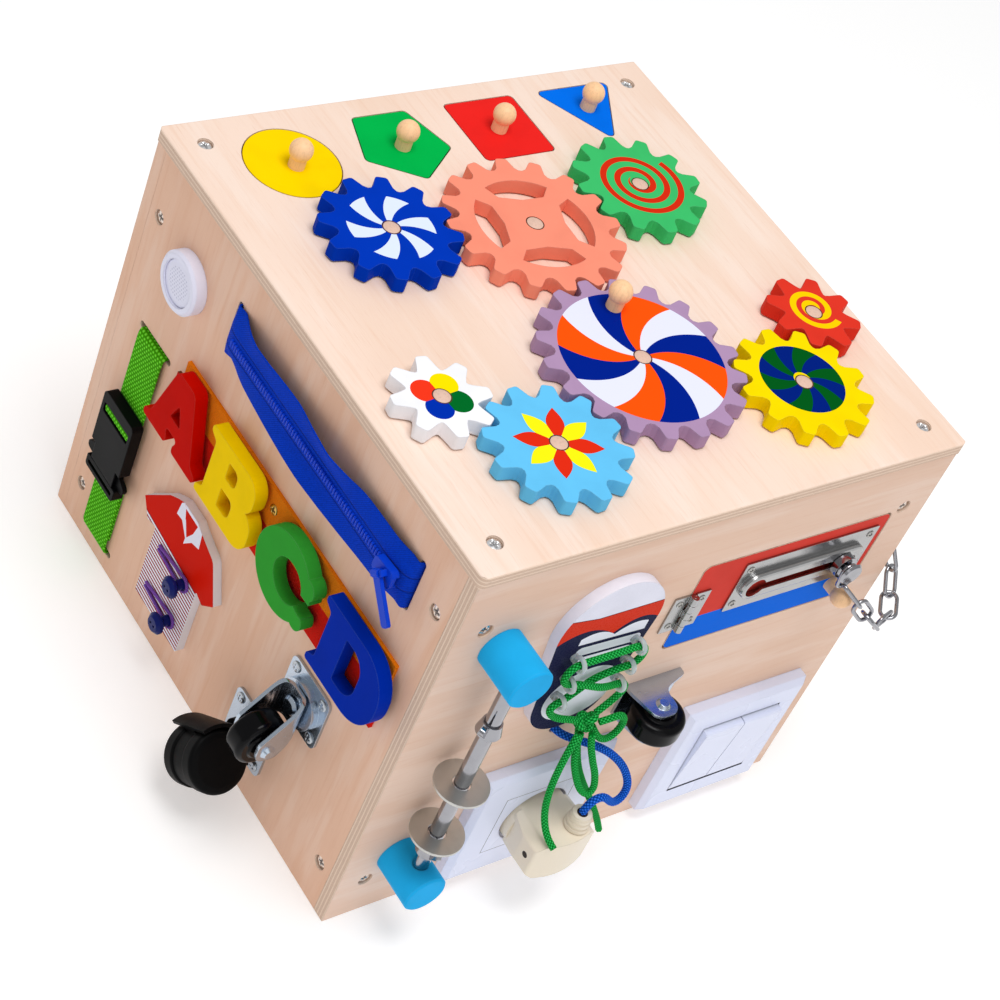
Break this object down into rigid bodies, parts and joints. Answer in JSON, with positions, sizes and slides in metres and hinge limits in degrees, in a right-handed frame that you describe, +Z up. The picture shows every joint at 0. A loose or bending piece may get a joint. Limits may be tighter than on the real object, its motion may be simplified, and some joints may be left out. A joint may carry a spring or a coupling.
{
  "type": "wooden activity cube",
  "caption": "Plywood box of toys to turn, lift, slide and fasten: a gear train and shape puzzle on top, with letters, zipper, buckle, casters, bolt, laced shoe, chained door, plug and switch.",
  "frame": {"origin": "centre of the base", "axes": "+Z up, -Y towards the face with the door, -X towards the face with the letters"},
  "size_m": [0.3523, 0.3369, 0.288],
  "materials": {
    "plywood": "clear lacquer",
    "turned_wood": "lacquered",
    "zinc": "zinc plated",
    "steel": "polished",
    "gear_mauve": "painted, satin",
    "gear_coral": "painted, satin",
    "gear_blue": "painted, satin",
    "gear_green": "painted, satin",
    "gear_sky": "painted, satin",
    "gear_yellow": "painted, satin",
    "gear_white": "painted, satin",
    "gear_red": "painted, satin",
    "puzzle_circle": "painted, satin",
    "puzzle_pentagon": "painted, satin",
    "puzzle_square": "painted, satin",
    "puzzle_triangle": "painted, satin",
    "sound_button_body": "white",
    "sound_button_disc": "white",
    "strap_upper": "webbing",
    "strap_lower": "webbing",
    "buckle_male": "moulded",
    "buckle_female": "moulded",
    "zipper_tape": "woven tape",
    "zipper_slider": "enamelled",
    "zipper_pull": "enamelled",
    "loop_strips": "loop pile",
    "letter_a": "painted, satin",
    "letter_b": "painted, satin",
    "letter_c": "painted, satin",
    "letter_d": "painted, satin",
    "shirt_board": "painted, satin",
    "shirt_loops": "elastic",
    "swivel_wheel": "matt",
    "twin_hood": "moulded",
    "twin_wheels": "moulded",
    "fixed_wheel": "matt",
    "bolt_posts": "painted, satin",
    "shoe_board": "painted, satin",
    "lace_eyelets": "clear",
    "shoe_lace": "braided",
    "door": "painted, satin",
    "wall_plates": "white",
    "plug": "cream",
    "plug_cord": "braided",
    "rocker_left": "white",
    "rocker_right": "white"
  },
  "bodies": {
    "cube": {"top_panel": "plywood", "front_panel": "plywood", "left_panel": "plywood", "rear_panels": "plywood", "inner_frame": "plywood", "panel_screws": "zinc", "gear_axles": "turned_wood", "sound_button_body": "sound_button_body", "strap_lower": "strap_lower", "buckle_male": "buckle_male", "zipper_tape": "zipper_tape", "loop_strips": "loop_strips", "shirt_board": "shirt_board", "shirt_loops": "shirt_loops", "caster_mounts": "zinc", "bolt_posts": "bolt_posts", "bolt_rod": "steel", "shoe_board": "shoe_board", "lace_eyelets": "lace_eyelets", "shoe_lace": "shoe_lace", "hinge_fixed": "zinc", "door_chain": "steel", "wall_plates": "wall_plates", "plug_cord": "plug_cord"},
    "gear_mauve": {"gear_mauve": "gear_mauve"},
    "gear_coral": {"gear_coral": "gear_coral"},
    "gear_blue": {"gear_blue": "gear_blue"},
    "gear_green": {"gear_green": "gear_green"},
    "gear_sky": {"gear_sky": "gear_sky"},
    "gear_yellow": {"gear_yellow": "gear_yellow"},
    "gear_white": {"gear_white": "gear_white"},
    "gear_red": {"gear_red": "gear_red"},
    "puzzle_circle": {"puzzle_circle": "puzzle_circle"},
    "puzzle_pentagon": {"puzzle_pentagon": "puzzle_pentagon"},
    "puzzle_square": {"puzzle_square": "puzzle_square"},
    "puzzle_triangle": {"puzzle_triangle": "puzzle_triangle"},
    "sound_disc": {"sound_button_disc": "sound_button_disc"},
    "buckle_upper": {"buckle_female": "buckle_female", "strap_upper": "strap_upper"},
    "zip_slider": {"zipper_slider": "zipper_slider"},
    "zip_pull": {"zipper_pull": "zipper_pull"},
    "letter_a": {"letter_a": "letter_a"},
    "letter_b": {"letter_b": "letter_b"},
    "letter_c": {"letter_c": "letter_c"},
    "letter_d": {"letter_d": "letter_d"},
    "swivel_fork": {"swivel_fork": "zinc"},
    "swivel_wheel": {"swivel_wheel": "swivel_wheel"},
    "twin_hood": {"twin_hood": "twin_hood"},
    "twin_wheels": {"twin_wheels": "twin_wheels"},
    "fixed_wheel": {"fixed_wheel": "fixed_wheel"},
    "wing_nut_upper": {"wing_nut_upper": "steel"},
    "wing_nut_lower": {"wing_nut_lower": "steel"},
    "washer_upper": {"washer_upper": "steel"},
    "washer_lower": {"washer_lower": "steel"},
    "door": {"door": "door", "door_hardware": "zinc"},
    "chain_slider": {"chain_slider": "steel"},
    "plug": {"plug": "plug"},
    "rocker_left": {"rocker_left": "rocker_left"},
    "rocker_right": {"rocker_right": "rocker_right"}
  },
  "joints": [
    {"name": "gear_mauve_spin", "type": "hinge", "parent": "cube", "child": "gear_mauve", "pos_m": [0, -0.0595, 0.264], "axis": [0, 0, 1], "continuous": true},
    {"name": "gear_coral_spin", "type": "hinge", "parent": "cube", "child": "gear_coral", "pos_m": [0, 0.03638, 0.264], "axis": [0, 0, 1], "continuous": true},
    {"name": "gear_blue_spin", "type": "hinge", "parent": "cube", "child": "gear_blue", "pos_m": [-0.07776, 0.05009, 0.264], "axis": [0, 0, 1], "continuous": true},
    {"name": "gear_green_spin", "type": "hinge", "parent": "cube", "child": "gear_green", "pos_m": [0.07776, 0.05009, 0.264], "axis": [0, 0, 1], "continuous": true},
    {"name": "gear_sky_spin", "type": "hinge", "parent": "cube", "child": "gear_sky", "pos_m": [-0.07617, -0.09632, 0.264], "axis": [0, 0, 1], "continuous": true},
    {"name": "gear_yellow_spin", "type": "hinge", "parent": "cube", "child": "gear_yellow", "pos_m": [0.07617, -0.09632, 0.264], "axis": [0, 0, 1], "continuous": true},
    {"name": "gear_white_spin", "type": "hinge", "parent": "cube", "child": "gear_white", "pos_m": [-0.11542, -0.05582, 0.264], "axis": [0, 0, 1], "continuous": true},
    {"name": "gear_red_spin", "type": "hinge", "parent": "cube", "child": "gear_red", "pos_m": [0.11542, -0.05582, 0.264], "axis": [0, 0, 1], "continuous": true},
    {"name": "puzzle_circle_lift", "type": "slide", "parent": "cube", "child": "puzzle_circle", "axis": [0, 0, 1], "range_m": [0, 0.03]},
    {"name": "puzzle_pentagon_lift", "type": "slide", "parent": "cube", "child": "puzzle_pentagon", "axis": [0, 0, 1], "range_m": [0, 0.03]},
    {"name": "puzzle_square_lift", "type": "slide", "parent": "cube", "child": "puzzle_square", "axis": [0, 0, 1], "range_m": [0, 0.03]},
    {"name": "puzzle_triangle_lift", "type": "slide", "parent": "cube", "child": "puzzle_triangle", "axis": [0, 0, 1], "range_m": [0, 0.03]},
    {"name": "sound_press", "type": "slide", "parent": "cube", "child": "sound_disc", "axis": [1, 0, 0], "range_m": [0, 0.0015], "stiffness_N_per_m": 400},
    {"name": "buckle_part", "type": "slide", "parent": "cube", "child": "buckle_upper", "axis": [0, 0, 1], "range_m": [0, 0.026], "deforming": ["strap_upper"]},
    {"name": "zip_run", "type": "slide", "parent": "cube", "child": "zip_slider", "axis": [0, 1, 0], "range_m": [0, 0.14]},
    {"name": "zip_pull_flip", "type": "hinge", "parent": "zip_slider", "child": "zip_pull", "pos_m": [-0.1614, -0.103, 0.219], "axis": [0, 0.7071, -0.7071], "range_deg": [0, 110]},
    {"name": "letter_a_pull", "type": "slide", "parent": "cube", "child": "letter_a", "axis": [-1, 0, 0], "range_m": [0, 0.03]},
    {"name": "letter_b_pull", "type": "slide", "parent": "cube", "child": "letter_b", "axis": [-1, 0, 0], "range_m": [0, 0.03]},
    {"name": "letter_c_pull", "type": "slide", "parent": "cube", "child": "letter_c", "axis": [-1, 0, 0], "range_m": [0, 0.03]},
    {"name": "letter_d_pull", "type": "slide", "parent": "cube", "child": "letter_d", "axis": [-1, 0, 0], "range_m": [0, 0.03]},
    {"name": "swivel_turn", "type": "hinge", "parent": "cube", "child": "swivel_fork", "pos_m": [-0.1485, -0.0817, 0.0957], "axis": [-1, 0, 0], "continuous": true},
    {"name": "swivel_roll", "type": "hinge", "parent": "swivel_fork", "child": "swivel_wheel", "pos_m": [-0.1715, -0.0817, 0.0787], "axis": [0, -1, 0], "continuous": true},
    {"name": "twin_turn", "type": "hinge", "parent": "cube", "child": "twin_hood", "pos_m": [-0.1485, -0.0545, 0.0385], "axis": [-1, 0, 0], "continuous": true},
    {"name": "twin_roll", "type": "hinge", "parent": "twin_hood", "child": "twin_wheels", "pos_m": [-0.1755, -0.05872, 0.03356], "axis": [0, -0.7604, 0.6494], "continuous": true},
    {"name": "fixed_roll", "type": "hinge", "parent": "cube", "child": "fixed_wheel", "pos_m": [0.0002, -0.1655, 0.123], "axis": [0, 0, 1], "continuous": true},
    {"name": "nut_upper_turn", "type": "hinge", "parent": "cube", "child": "wing_nut_upper", "pos_m": [-0.1175, -0.164, 0.165], "axis": [0, 0, 1], "continuous": true},
    {"name": "nut_lower_turn", "type": "hinge", "parent": "cube", "child": "wing_nut_lower", "pos_m": [-0.1175, -0.164, 0.071], "axis": [0, 0, 1], "continuous": true},
    {"name": "washer_upper_slide", "type": "slide", "parent": "cube", "child": "washer_upper", "axis": [0, 0, 1], "range_m": [-0.02, 0.036]},
    {"name": "washer_lower_slide", "type": "slide", "parent": "cube", "child": "washer_lower", "axis": [0, 0, 1], "range_m": [-0.0015, 0.014]},
    {"name": "door_swing", "type": "hinge", "parent": "cube", "child": "door", "pos_m": [0.0007, -0.1509, 0.1865], "axis": [0, 0, -1], "range_deg": [0, 100]},
    {"name": "chain_slide", "type": "slide", "parent": "door", "child": "chain_slider", "axis": [-1, 0, 0], "range_m": [0, 0.058]},
    {"name": "plug_pull", "type": "slide", "parent": "cube", "child": "plug", "axis": [0, -1, 0], "range_m": [0, 0.03]},
    {"name": "rocker_left_tip", "type": "hinge", "parent": "cube", "child": "rocker_left", "pos_m": [0.07493, -0.1515, 0.0502], "axis": [-1, 0, 0], "range_deg": [0, 8.4]},
    {"name": "rocker_right_tip", "type": "hinge", "parent": "cube", "child": "rocker_right", "pos_m": [0.10207, -0.1515, 0.0502], "axis": [-1, 0, 0], "range_deg": [0, 8.4]}
  ],
  "couplings": [
    {"joint": "gear_coral_spin", "follows": "gear_mauve_spin", "ratio": -1.125},
    {"joint": "gear_blue_spin", "follows": "gear_mauve_spin", "ratio": 1.5},
    {"joint": "gear_green_spin", "follows": "gear_mauve_spin", "ratio": 1.5},
    {"joint": "gear_sky_spin", "follows": "gear_mauve_spin", "ratio": -1.5},
    {"joint": "gear_yellow_spin", "follows": "gear_mauve_spin", "ratio": -1.5},
    {"joint": "gear_white_spin", "follows": "gear_mauve_spin", "ratio": 2.25},
    {"joint": "gear_red_spin", "follows": "gear_mauve_spin", "ratio": 2.25}
  ]
}
